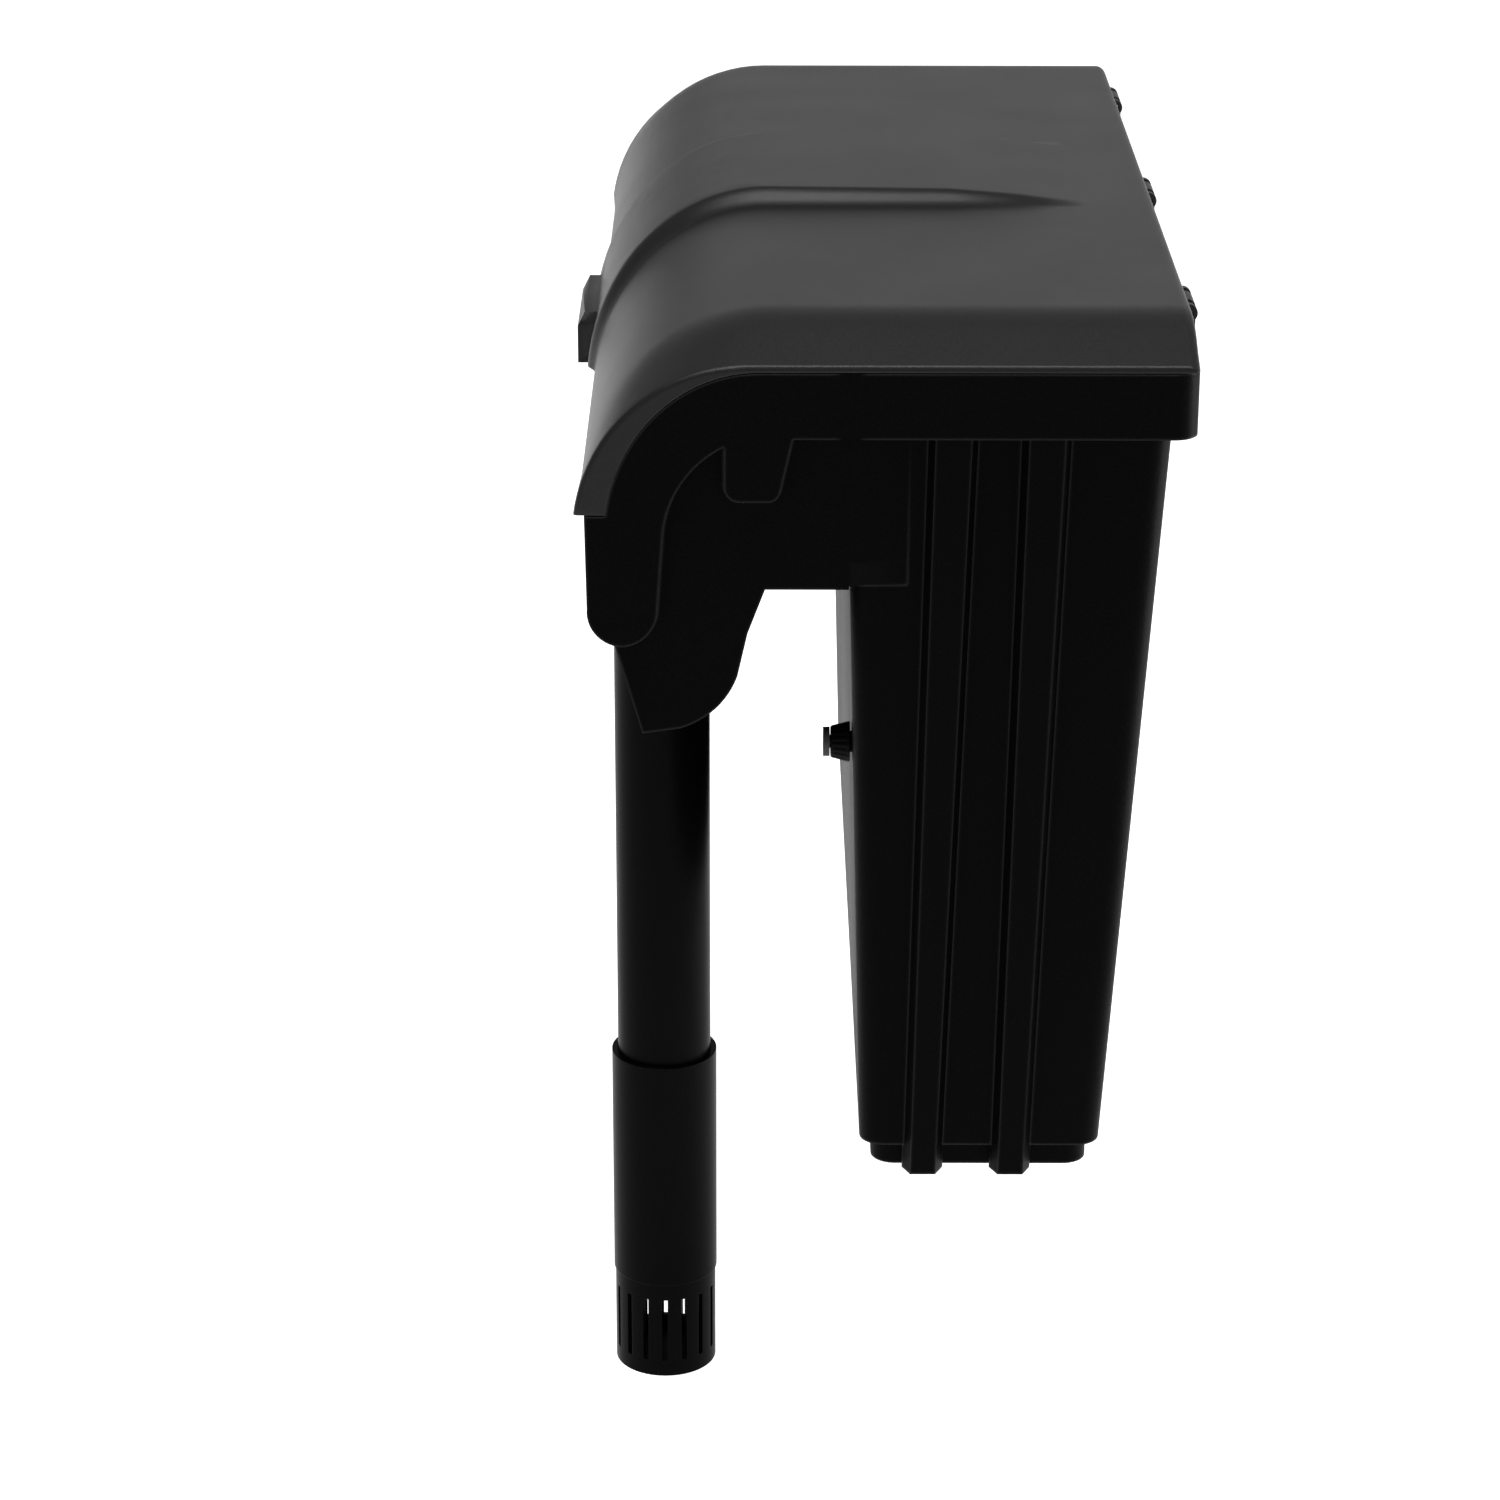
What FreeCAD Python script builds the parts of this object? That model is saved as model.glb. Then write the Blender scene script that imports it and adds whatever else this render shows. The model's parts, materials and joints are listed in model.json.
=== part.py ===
import FreeCAD, Part
import math
import os
from FreeCAD import Vector

# Large hang on back aquarium filter. Millimetres, +Z up, +X away from the tank, Y along the length.
# The origin is the middle of the hook's underside, where it sits on the tank's rim.

# overall sizes
length = 470.0                  # lid and case band, end to end
band_rear_x = 138.4             # rear face of the case band
band_top_z = 81.0               # top of the case band, where the lid sits
band_height = 24.0
case_drop = 225.0               # depth of the case's walls below the rim
plinth_height = 10.0
wall = 2.6                      # moulded wall of the case
floor_thickness = 3.0
cheek_proud = 4.0               # the band and nose cheeks stand out from the spillway's end wall
rib_proud = 5.0
corner_radius = 9.0

# case walls, which lean in towards the foot
case_front_x = 15.0
front_draft = 7.6
case_rear_x = 130.3
rear_draft = 17.0
end_draft = 4.0
plinth_step = 4.5

# end ribs: middle of each at the top, its width there, and how both lessen towards the foot
rib_middles_x = (52.5, 85.5)
rib_width = 19.0
rib_foot_width = 15.5
rib_lean = 6.2
rib_flank = 3.0

# spillway housings over the rim
seam_x = 16.0                   # plane where the housings meet the case
hook_front_x = -13.9
nose_front_x = -78.0
nose_top_z = 28.5
nose_foot_z = -20.5
chin_foot_z = -55.0
chin_front_x = -58.0
bay_half = 32.0                 # half the open bay for the intake between the housings
ramp_end_x = 37.0               # the housing's end wall slopes in to the case's over this distance
ramp_fade_z = 10.0              # where that slope starts to die away, and as far below the seat again

# lid
lid_wall = 2.5
lid_gap = 0.4                   # between the lid's lower edge and the case band
lid_rear_x = 138.0
lid_top_z = 95.5
lid_end_z = 83.8                # the crease at each end
bevel_length = 29.0
bevel_softness = 0.35           # share of the bevel's length over which its crease is rounded
end_roll = 1.6                  # rounding of the lid's end edges
curve_centre_z = 20.0           # common centre height of the front curves
crown_start_x = -13.0
crown_reach = 68.0
crease_start_x = -21.0
crease_reach = 61.5
parting_start_x = -16.0
parting_reach = 55.0
lid_front_z = 29.0
lid_corner = 4.0
raised_half = 46.0              # raised centre band, to its upper crease
raised_bevel = 9.0
raised_height = 6.0
raised_front = 3.0
raised_fade = ((58.0, 0.88), (86.0, 0.52), (110.0, 0.0))    # rearwards: X, and share of the height left
lip_half = 28.0
lip_proud = 4.5
lip_bottom_z = 25.0
lip_top_z = 46.0

# hinge
hinge_spacing = 166.0
hinge_x = 138.5
hinge_z = 87.5
hinge_barrel_r = 3.4
hinge_length = 26.0
hinge_pin_r = 1.5
hinge_play = 0.08
lug_width = 3.0
lug_offset = 8.0
lug_side_gap = 0.5
lug_r = 3.0

# bio wheels
wheel_x = -34.0
wheel_z = 34.0
wheel_r = 34.0
wheel_disc = 2.0
wheel_end_gap = 8.0             # room at each end of a wheel for its bearing
wheel_side_gap = 1.5
axle_r = 2.5
axle_play = 0.08
axle_bite = 6.0
drum_r = 26.0
drum_wall = 2.0
disc_holes = 6
pleats = 30
pleat_inset = 1.0               # the pleats stop short of the discs' rims and of the drum
bearing_half = 7.0
bearing_below = 9.0
bearing_above = 6.0

# intake
tube_r = 20.0
tube_wall = 2.5
leg_x = -56.0
pump_x = 62.0
elbow_z = 10.0
elbow_foot_z = -32.0
seal_thickness = 2.0
socket_wall = 2.6
socket_play = 0.05
intake_foot_z = -330.0
slide_play = 0.08
sleeve_wall = 2.5
sleeve_top_z = -290.0
sleeve_foot_z = -395.0
strainer_foot_z = -440.0
strainer_step = 0.6             # the strainer is this much slimmer in radius than the sleeve
strainer_slots = 16
strainer_slot_width = 2.5

# pump
pump_height = 57.0              # from the plinth's foot to the floor that the pump is held against
pump_half_y = 32.0
pump_half_x = 32.0
pump_gap = 0.4
gasket_thickness = 1.5
pump_wall = 2.5
base_cap = 3.0
cap_rise = 2.5                  # the base cap sits above the plinth's foot
gasket_width = 4.0
gasket_clear = 2.0              # between the well's wall and the gasket
well_r = 11.5
well_wall = 2.0
well_depth = 44.0
rotor_r = 10.0
shaft_r = 1.5
shaft_play = 0.08
bush_height = 3.0
bush_r = 3.75
bush_drop = 1.0                 # the upper bush sits below the cover's top
rotor_lift = 0.4                # between the lower bush and the magnet
impeller_lift = 1.5             # between the case's floor and the impeller's disc
impeller_hub_r = 5.0
impeller_hub_below = 4.0
vane_count = 6
vane_r = 15.0
vane_top = 9.0
vane_thickness = 1.6
volute_r = 22.0
volute_height = 18.0
cover_socket_height = 12.0
outlet_half = 6.0
outlet_sill = 2.0
spider_arms = 3
spider_wall = 1.4
spider_arm_half = 0.9
screw_inset = 4.8               # the screw bosses run into the housing's walls
screw_r = 1.5
screw_length = 9.0
screw_head = 1.8
screw_tip_gap = 1.0
stator_drop = 20.0              # top of the stator below the housing's top
stator_height = 16.0
stator_reach = 18.0             # from the pump's axis to the stator's front face
stator_half_y = 20.0
window_start = 17.0             # the winding's window, from the pump's axis
window_width = 4.5
limb_width = 4.0
coil_half_y = 12.0
coil_above = 3.5                # how far the winding stands out above and below its limb
coil_behind = 3.2
gland_r = 4.0
gland_wall = 1.2
gland_offset_x = 20.0           # behind the pump's axis, in its base cap
gland_foot = 1.5                # how far the gland stands below the base cap
lead_notch = 10.0               # width of the plinth's notch for a lead

# cartridges and media baskets
divider_y = 40.0
divider_rear_gap = 14.0
cartridge_x = 86.0
cartridge_depth = 10.0
basket_x = 58.0
basket_depth = 20.0
basket_wall = 1.6
insert_gap = 1.0
insert_top_z = 40.0
rail = 2.0
rail_reach = 4.0
frame_border = 7.0
frame_bar = 4.0
frame_bar_depth = 2.0
pad_gap = 0.3
pull_half = 14.0
pull_height = 12.0
pull_thickness = 3.0
basket_pitch = 22.0
basket_border = 10.0

# levelling screws
level_y = 200.0
level_z = -70.0
level_tip_x = 7.8
knob_tip_r = 5.85
knob_base_r = 7.65
knob_tip_x = 10.5
thread_r = 4.0
thread_gap = 0.3
boss_r = 8.5
boss_depth = 18.0
knob_wall_gap = 0.8
screw_end_gap = 2.0
pad_inset = 0.4
pad_stem = 4.0

# worked out from the sizes above
half = length / 2
end_wall_y = half - cheek_proud
case_half = end_wall_y - rib_proud
case_foot_z = -case_drop
plinth_foot_z = case_foot_z - plinth_height
pump_floor_z = plinth_foot_z + pump_height
band_foot_z = band_top_z - band_height
inner_floor_z = case_foot_z + floor_thickness
TALL = 400.0                    # reach of a cutting block past the object

Y_AXIS = Vector(0, 1, 0)


def box(x0, x1, y0, y1, z0, z1):
    return Part.makeBox(x1 - x0, y1 - y0, z1 - z0, Vector(x0, y0, z0))


def cylinder(radius, start, end):
    line = end.sub(start)
    return Part.makeCylinder(radius, line.Length, start, line)


def tube(outer, inner, start, end):
    return cylinder(outer, start, end).cut(cylinder(inner, start, end))


def at_pump(z):
    return Vector(pump_x, 0, z)


def at_leg(z):
    return Vector(leg_x, 0, z)


def mirrored(shape):
    """The same piece at the far end."""
    return shape.mirror(Vector(0, 0, 0), Y_AXIS)


def line(a, b):
    return Part.LineSegment(a, b).toShape()


def arc(a, b, c):
    return Part.Arc(a, b, c).toShape()


def side(x, z, y=0.0):
    return Vector(x, y, z)


def prism(edges, y0, y1):
    """A side outline in the XZ plane carried from y0 to y1."""
    face = Part.Face(Part.Wire(edges))
    face.translate(Vector(0, y0, 0))
    return face.extrude(Vector(0, y1 - y0, 0))


def polyline(points):
    return [line(points[i], points[i + 1]) for i in range(len(points) - 1)]


def closed(points):
    return polyline(points + points[:1])


def rounded_rectangle(x0, x1, y, z, r):
    """A wire of four sides and four quarter circles, level at z and symmetric about Y = 0."""
    edges = []
    corners = ((x1 - r, y - r, 0), (x0 + r, y - r, 90), (x0 + r, r - y, 180), (x1 - r, r - y, 270))
    ends = []
    for cx, cy, turn in corners:
        a, m, b = (Vector(cx + r * math.cos(math.radians(turn + t)),
                          cy + r * math.sin(math.radians(turn + t)), z) for t in (0, 45, 90))
        ends.append((a, m, b))
    for i, (a, m, b) in enumerate(ends):
        edges.append(arc(a, m, b))
        edges.append(line(b, ends[(i + 1) % 4][0]))
    return Part.Wire(edges)


def ellipse_point(start_x, reach, top_z, z):
    """X on a front curve at height z: an ellipse centred below its own start."""
    rise = (z - curve_centre_z) / (top_z - curve_centre_z)
    return start_x - reach * math.sqrt(1 - rise * rise)


def front_curve(start_x, reach, top_z, foot_z, y=0.0):
    """The quarter ellipse from the start of a front curve down to foot_z."""
    major, minor = max(reach, top_z - curve_centre_z), min(reach, top_z - curve_centre_z)
    centre = side(start_x, curve_centre_z, y)
    top = side(start_x, top_z, y)
    front = side(start_x - reach, curve_centre_z, y)
    if top_z - curve_centre_z >= reach:
        curve = Part.Ellipse(top, front, centre)
    else:
        curve = Part.Ellipse(front, top, centre)
    foot = side(ellipse_point(start_x, reach, top_z, foot_z), foot_z, y)
    a, b = curve.parameter(top), curve.parameter(foot)
    if b < a:
        a, b = b, a
    if b - a > math.pi:
        a, b = b, a + 2 * math.pi
    return curve.toShape(a, b)


# ---- case -------------------------------------------------------------------------------------

def draft_at(z, total):
    """How far a leaning wall has come in at height z."""
    return total * (band_foot_z - z) / (band_foot_z - case_foot_z)


def case_section(z, inset):
    x0 = case_front_x + draft_at(z, front_draft) + inset
    x1 = case_rear_x - draft_at(z, rear_draft) - inset
    y = case_half - draft_at(z, end_draft) - inset
    return rounded_rectangle(x0, x1, y, z, corner_radius - inset)


def leaning_box(z0, z1, inset):
    return Part.makeLoft([case_section(z1, inset), case_section(z0, inset)], True, True)


def rib_section(middle, z, inset):
    """One end rib's outline at height z, wide at the wall and narrower at its face."""
    t = (band_foot_z - z) / (band_foot_z - plinth_foot_z)
    half_width = (rib_width + (rib_foot_width - rib_width) * t) / 2 - inset
    x = middle - rib_lean * t
    root = case_half - draft_at(z, end_draft) - wall / 2
    face = root + rib_proud + wall / 2 - inset
    points = [Vector(x - half_width, root, z), Vector(x - half_width + rib_flank, face, z),
              Vector(x + half_width - rib_flank, face, z), Vector(x + half_width, root, z)]
    return Part.Wire(closed(points))


def rib_solid(middle, z0, z1, inset):
    return Part.makeLoft([rib_section(middle, z1, inset), rib_section(middle, z0, inset)], True, True)


def band_block(inset, z0, z1):
    wire = rounded_rectangle(-TALL / 2, band_rear_x - inset, half - inset, z0, corner_radius - inset)
    block = Part.Face(wire).extrude(Vector(0, 0, z1 - z0))
    return block.common(box(seam_x, TALL, -TALL, TALL, z0, z1))


def ramp():
    """The near end's slope from the housing's end wall in to the case's, dying away below the seat."""
    def outline(z, proud):
        return Part.Wire(closed([Vector(seam_x, -case_half - proud, z), Vector(ramp_end_x, -case_half, z),
                                 Vector(ramp_end_x, corner_radius - case_half, z),
                                 Vector(seam_x, corner_radius - case_half, z)]))
    full = Part.makeLoft([outline(band_foot_z, rib_proud), outline(ramp_fade_z, rib_proud)], True, True)
    fade = Part.makeLoft([outline(ramp_fade_z, rib_proud), outline(0, rib_proud / 3)], True, True)
    return full.fuse(fade)


def hinge_middles():
    return (-hinge_spacing, 0.0, hinge_spacing)


def lug_middles():
    return [y + s * lug_offset for y in hinge_middles() for s in (-1, 1)]


def hinge_lug(y):
    """An ear that stands up from the band's rear face and holds the hinge pin."""
    y0, y1 = y - lug_width / 2, y + lug_width / 2
    stem = box(band_rear_x - wall, hinge_x + lug_r, y0, y1, band_top_z - 3 * lug_r, hinge_z)
    ear = cylinder(lug_r, side(hinge_x, hinge_z, y0), side(hinge_x, hinge_z, y1))
    hole = cylinder(hinge_pin_r, side(hinge_x, hinge_z, y0 - 1), side(hinge_x, hinge_z, y1 + 1))
    return stem.fuse(ear).cut(hole)


def front_wall_x(z):
    return case_front_x + draft_at(z, front_draft)


def pump_recess(inset, top):
    return box(pump_x - pump_half_x - inset, pump_x + pump_half_x + inset,
               -pump_half_y - inset, pump_half_y + inset, plinth_foot_z - 1, top)


def pump_bay_block():
    block = pump_recess(wall + pump_gap, pump_floor_z + floor_thickness)
    return block.common(box(-TALL, TALL, -TALL, TALL, case_foot_z, TALL))


def cavity():
    """The room inside the case's leaning walls, above its floor."""
    return leaning_box(inner_floor_z, band_foot_z, wall)


def upright_rails(y0, y1):
    """Rails on both faces of the cartridge and of the basket, from y0 to y1, within the case's room."""
    room = cavity()
    rails = []
    for x, depth in ((basket_x, basket_depth), (cartridge_x, cartridge_depth)):
        for edge in (x - insert_gap / 2 - rail, x + depth + insert_gap / 2):
            rails.append(box(edge, edge + rail, y0, y1, inner_floor_z, insert_top_z).common(room))
    return rails


def make_divider():
    """The near divider between the pump's bay and the filter chambers, with its upright rails."""
    last_rail = cartridge_x + cartridge_depth + insert_gap / 2 + rail
    rear = max(case_rear_x - rear_draft - wall - divider_rear_gap, last_rail)
    body = box(0, rear, -divider_y - wall, -divider_y, inner_floor_z, insert_top_z).common(cavity())
    rails = upright_rails(-divider_y - wall - rail_reach, -divider_y - wall)
    return body.fuse(rails).removeSplitter()


def make_end_rails():
    outer = case_half - wall - end_draft
    return upright_rails(-case_half, rail_reach - outer)


def make_pump_bay():
    """A hollow block that stands on the case's floor and takes the pump from below."""
    block = pump_bay_block().cut(pump_recess(pump_gap, pump_floor_z))
    return block.cut(cylinder(well_r + well_wall + gasket_clear, at_pump(pump_floor_z - 1),
                              at_pump(pump_floor_z + floor_thickness + 1)))


def make_case():
    body = leaning_box(case_foot_z, band_foot_z, 0)
    plinth = rounded_rectangle(front_wall_x(case_foot_z) + plinth_step,
                               case_rear_x - rear_draft - plinth_step,
                               case_half - end_draft - plinth_step, plinth_foot_z, corner_radius)
    body = body.fuse(Part.Face(plinth).extrude(Vector(0, 0, plinth_height + 1)))
    for middle in rib_middles_x:
        rib = rib_solid(middle, plinth_foot_z, band_foot_z, 0)
        body = body.fuse([rib, mirrored(rib)])
    body = body.fuse([ramp(), mirrored(ramp())])
    body = body.fuse(band_block(0, band_foot_z, band_top_z))
    body = body.cut(band_block(wall, band_foot_z + wall, band_top_z + 1))
    throat = Part.Face(case_section(band_foot_z, wall)).extrude(Vector(0, 0, wall + 1))
    body = body.cut(cavity()).cut(throat)
    # open the front above the hook's seat, so that water passes over into the spillways
    body = body.cut(box(case_front_x - 1, seam_x, -TALL, TALL, 0, TALL))
    opening_y = case_half - corner_radius
    body = body.cut(box(seam_x - 1, case_front_x + corner_radius + wall, -opening_y, opening_y,
                        floor_thickness, TALL))
    under = rounded_rectangle(front_wall_x(case_foot_z) + plinth_step + wall,
                              case_rear_x - rear_draft - plinth_step - wall,
                              case_half - end_draft - plinth_step - wall, plinth_foot_z,
                              corner_radius - wall)
    body = body.cut(Part.Face(under).extrude(Vector(0, 0, plinth_height)))
    body = body.cut(box(pump_x + pump_half_x, TALL, -lead_notch / 2, lead_notch / 2,
                        plinth_foot_z - 1, case_foot_z))
    body = body.cut([pump_bay_block(), pump_recess(pump_gap, case_foot_z + 1)])
    for y in (-level_y, level_y):
        start = front_wall_x(level_z) + wall / 2
        body = body.fuse(cylinder(boss_r, Vector(start, y, level_z),
                                  Vector(start + boss_depth, y, level_z)))
        body = body.cut(cylinder(thread_r + thread_gap, Vector(0, y, level_z),
                                 Vector(start + boss_depth - wall, y, level_z)))
    body = body.fuse(box(hook_front_x, seam_x + wall, -bay_half, bay_half, 0, floor_thickness))
    body = body.fuse([hinge_lug(y) for y in lug_middles()])
    return body.removeSplitter()


# ---- spillway housings --------------------------------------------------------------------------

def housing_outline():
    """Hook seat, curved chin and nose, open upwards: the boundary that the wall follows inwards."""
    p = [side(TALL / 2, TALL / 2), side(TALL / 2, 0), side(hook_front_x, 0), side(-20.1, -16.6),
         side(-23.7, -32.8)]
    edges = polyline(p)
    edges.append(arc(p[-1], side(-31.8, -45.6), side(-44.4, -53.0)))
    q = [side(-44.4, -53.0), side(chin_front_x, chin_foot_z), side(-67.9, nose_foot_z)]
    edges += polyline(q)
    edges.append(arc(q[-1], side(-75.4, -15.0), side(nose_front_x + 0.6, -6.0)))
    r = [side(nose_front_x + 0.6, -6.0), side(nose_front_x, nose_top_z), side(nose_front_x, TALL / 2), p[0]]
    return edges + polyline(r)


def under_parting(y0, y1):
    """Everything below the line where lid and case meet."""
    foot_x = ellipse_point(parting_start_x, parting_reach, band_top_z, nose_top_z)
    edges = [line(side(TALL, band_top_z), side(parting_start_x, band_top_z)),
             front_curve(parting_start_x, parting_reach, band_top_z, nose_top_z)]
    edges += polyline([side(foot_x, nose_top_z), side(-TALL, nose_top_z), side(-TALL, -TALL),
                       side(TALL, -TALL), side(TALL, band_top_z)])
    return prism(edges, y0, y1)


def cheek_edges():
    """The proud end plate: nose, hanging tab and the band's front stretch."""
    p = [side(seam_x, band_top_z + 1), side(nose_front_x, band_top_z + 1), side(nose_front_x, nose_top_z),
         side(nose_front_x + 0.6, -6.0)]
    edges = polyline(p)
    edges.append(arc(p[-1], side(-73.6, -16.6), side(-64.8, nose_foot_z)))
    edges.append(arc(side(-64.8, nose_foot_z), side(-56.4, -16.6), side(-52.3, -7.0)))
    edges += polyline([side(-52.3, -7.0), side(-50.2, 21.8)])
    edges.append(arc(side(-50.2, 21.8), side(-43.6, 40.6), side(-28.5, 54.2)))
    edges += polyline([side(-28.5, 54.2), side(-28.5, 39.5)])
    edges.append(arc(side(-28.5, 39.5), side(-26.9, 35.4), side(-22.8, 33.8)))
    edges += polyline([side(-22.8, 33.8), side(-13.0, 33.8)])
    edges.append(arc(side(-13.0, 33.8), side(-10.1, 34.9), side(-8.6, 37.6)))
    edges += polyline([side(-8.6, 37.6), side(-4.3, band_foot_z), side(seam_x, band_foot_z), p[0]])
    return edges


def make_spillway():
    """The near housing: one side of the hook, with the wheel's chamber and the curved chin."""
    y0, y1 = -end_wall_y, -bay_half
    outer = prism(housing_outline(), y0, y1)
    outer = outer.common(box(-TALL, seam_x, -TALL, TALL, -TALL, TALL))
    inner = Part.Wire(housing_outline()).makeOffset2D(-wall)
    hollow = Part.Face(inner)
    hollow.translate(Vector(0, y0 + wall, 0))
    hollow = hollow.extrude(Vector(0, y1 - y0 - 2 * wall, 0))
    body = outer.cut(hollow).fuse(prism(cheek_edges(), -half, y0))
    # the water's way out through the front of the chin
    way_out = [side(-90.0, nose_foot_z - wall / 2), side(-60.0, nose_foot_z - wall / 2),
               side(-50.0, chin_foot_z + wall), side(-90.0, chin_foot_z + wall)]
    body = body.cut(prism(closed(way_out), y0 + wall, y1 - wall))
    # the step in from the housing's end wall to the case's
    step = box(seam_x - wall, seam_x, y0, -case_half + corner_radius, 0, band_foot_z)
    body = body.fuse(step).common(under_parting(-TALL, TALL))
    return body.removeSplitter()


# ---- lid ----------------------------------------------------------------------------------------

def lid_section(y, start_x, reach, top_z, hump, hump_front, inset):
    """One cross section of the lid: rear wall, roof and front curve, closed along its foot."""
    rear = lid_rear_x - inset
    top = top_z - inset
    crown = top + hump
    r = lid_corner - min(inset, lid_wall)
    reach_in = reach - inset + hump_front
    foot_x = ellipse_point(start_x, reach_in, crown, lid_front_z)
    diagonal = r * (1 - math.sqrt(0.5))
    roof = [side(start_x, crown, y)] + [side(x, top + hump * share, y) for x, share in raised_fade]
    edges = [line(side(foot_x, lid_front_z, y), side(rear, lid_front_z, y)),
             line(side(rear, lid_front_z, y), side(rear, top - r, y)),
             arc(side(rear, top - r, y), side(rear - diagonal, top - diagonal, y), side(rear - r, top, y)),
             line(side(rear - r, top, y), roof[-1]),
             front_curve(start_x, reach_in, crown, lid_front_z, y)]
    return Part.Wire(Part.__sortEdges__(edges + polyline(roof)))


def eased(t):
    return t * t * (3 - 2 * t)


def lid_stations(inset):
    """Half lengths from the end inwards, each with its section's sizes and its own extra inset."""
    crease = (crease_start_x, crease_reach, lid_end_z)
    plain = (crown_start_x, crown_reach, lid_top_z)

    def between(t, hump=0.0):
        sizes = [a + (b - a) * t for a, b in zip(crease, plain)]
        return sizes + [raised_height * hump, raised_front * hump]

    stations = []
    if inset == 0:
        low = end_roll * (1 - math.sqrt(0.5))
        stations = [(half, between(0.0), end_roll), (half - low, between(0.0), low)]
    start = max(end_roll, inset)
    stations.append((half - start, between(0.0), 0.0))
    soft = bevel_softness
    for k in range(5):
        share = 1 - soft + soft * k / 2
        turned = 1 - (1 + soft - share) ** 2 / (4 * soft)
        stations.append((half - start - (bevel_length - start) * share, between(turned), 0.0))
    for k in range(6):
        y = raised_half + raised_bevel * (1 - k / 5) - inset
        stations.append((y, between(1.0, eased(k / 5)), 0.0))
    return stations


def lid_block(inset):
    one_side = lid_stations(inset)
    stations = [(-y, s, extra) for y, s, extra in one_side] + one_side[::-1]
    wires = [lid_section(y, *s, inset + extra) for y, s, extra in stations]
    spans = [Part.makeLoft([wires[i], wires[i + 1]], True, True) for i in range(len(wires) - 1)]
    return spans[0].fuse(spans[1:])


def make_lid():
    body = lid_block(0)
    front = ellipse_point(crown_start_x, crown_reach + raised_front, lid_top_z + raised_height, lid_front_z)
    lip = closed([side(front - lip_proud, lip_bottom_z), side(front - lip_proud, lip_top_z - 6),
                  side(front - lip_proud + 3, lip_top_z), side(front + 8, lip_top_z),
                  side(front + 8, lip_bottom_z + 4), side(front + lid_wall, lip_bottom_z)])
    body = body.fuse(prism(lip, -lip_half, lip_half))
    body = body.cut(lid_block(lid_wall))
    keep_out = under_parting(-TALL, TALL)
    keep_out.translate(Vector(0, 0, lid_gap))
    body = body.cut(keep_out.common(box(ellipse_point(parting_start_x, parting_reach, band_top_z,
                                                      nose_top_z), TALL, -TALL, TALL, -TALL, TALL)))
    for y in hinge_middles():
        y0, y1 = y - hinge_length / 2, y + hinge_length / 2
        body = body.fuse(cylinder(hinge_barrel_r, side(hinge_x, hinge_z, y0), side(hinge_x, hinge_z, y1)))
        body = body.cut(cylinder(hinge_pin_r + hinge_play, side(hinge_x, hinge_z, y0 - 1),
                                 side(hinge_x, hinge_z, y1 + 1)))
    for y in lug_middles():
        y0, y1 = y - lug_width / 2 - lug_side_gap, y + lug_width / 2 + lug_side_gap
        room = hinge_barrel_r + lug_side_gap
        slot = cylinder(room, side(hinge_x, hinge_z, y0), side(hinge_x, hinge_z, y1))
        slot = slot.fuse(box(hinge_x - room, hinge_x + room, y0, y1, band_top_z - 1, hinge_z))
        body = body.cut(slot)
    return body.removeSplitter()


def make_hinge_pins():
    reach = lug_offset + lug_width / 2
    return [cylinder(hinge_pin_r, side(hinge_x, hinge_z, y - reach), side(hinge_x, hinge_z, y + reach))
            for y in hinge_middles()]


# ---- bio wheels ---------------------------------------------------------------------------------

def wheel_span():
    """The near wheel's two end faces."""
    inset = wall + wheel_end_gap + wheel_side_gap
    return -end_wall_y + inset, -bay_half - inset


def on_wheel(y):
    return side(wheel_x, wheel_z, y)


def make_wheel_core():
    y0, y1 = wheel_span()
    body = tube(drum_r, drum_r - drum_wall, on_wheel(y0), on_wheel(y1))
    body = body.fuse(cylinder(2 * axle_r, on_wheel(y0), on_wheel(y1)))
    for y in (y0, y1 - wheel_disc):
        disc = cylinder(wheel_r, on_wheel(y), on_wheel(y + wheel_disc))
        ring = (drum_r + 2 * axle_r) / 2
        for k in range(disc_holes):
            a = 2 * math.pi * k / disc_holes
            hole = cylinder(ring / 3, side(wheel_x + ring * math.cos(a), wheel_z + ring * math.sin(a), y - 1),
                            side(wheel_x + ring * math.cos(a), wheel_z + ring * math.sin(a),
                                 y + wheel_disc + 1))
            disc = disc.cut(hole)
        body = body.fuse(disc)
    stub = wheel_side_gap + axle_bite
    return body.fuse(cylinder(axle_r, on_wheel(y0 - stub), on_wheel(y1 + stub))).removeSplitter()


def make_wheel_media():
    y0, y1 = wheel_span()
    crest, valley = wheel_r - pleat_inset, drum_r + pleat_inset
    points = []
    for k in range(2 * pleats):
        a = math.pi * k / pleats
        r = crest if k % 2 else valley
        points.append(side(wheel_x + r * math.cos(a), wheel_z + r * math.sin(a)))
    body = prism(closed(points), y0 + wheel_disc, y1 - wheel_disc)
    return body.cut(cylinder(drum_r, on_wheel(y0), on_wheel(y1)))


def make_bearings():
    """Open-topped cradles on the housings' walls, so that a wheel lifts out."""
    bearings = []
    wheel_ends = (-end_wall_y + wall, -bay_half - wall - wheel_end_gap)
    for y in wheel_ends:
        block = box(wheel_x - bearing_half, wheel_x + bearing_half, y, y + wheel_end_gap,
                    wheel_z - bearing_below, wheel_z + bearing_above)
        bore = axle_r + axle_play
        block = block.cut(cylinder(bore, on_wheel(y - 1), on_wheel(y + wheel_end_gap + 1)))
        block = block.cut(box(wheel_x - bore, wheel_x + bore, y - 1, y + wheel_end_gap + 1, wheel_z, TALL))
        bearings += [block, mirrored(block)]
    return bearings


# ---- intake -------------------------------------------------------------------------------------

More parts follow.
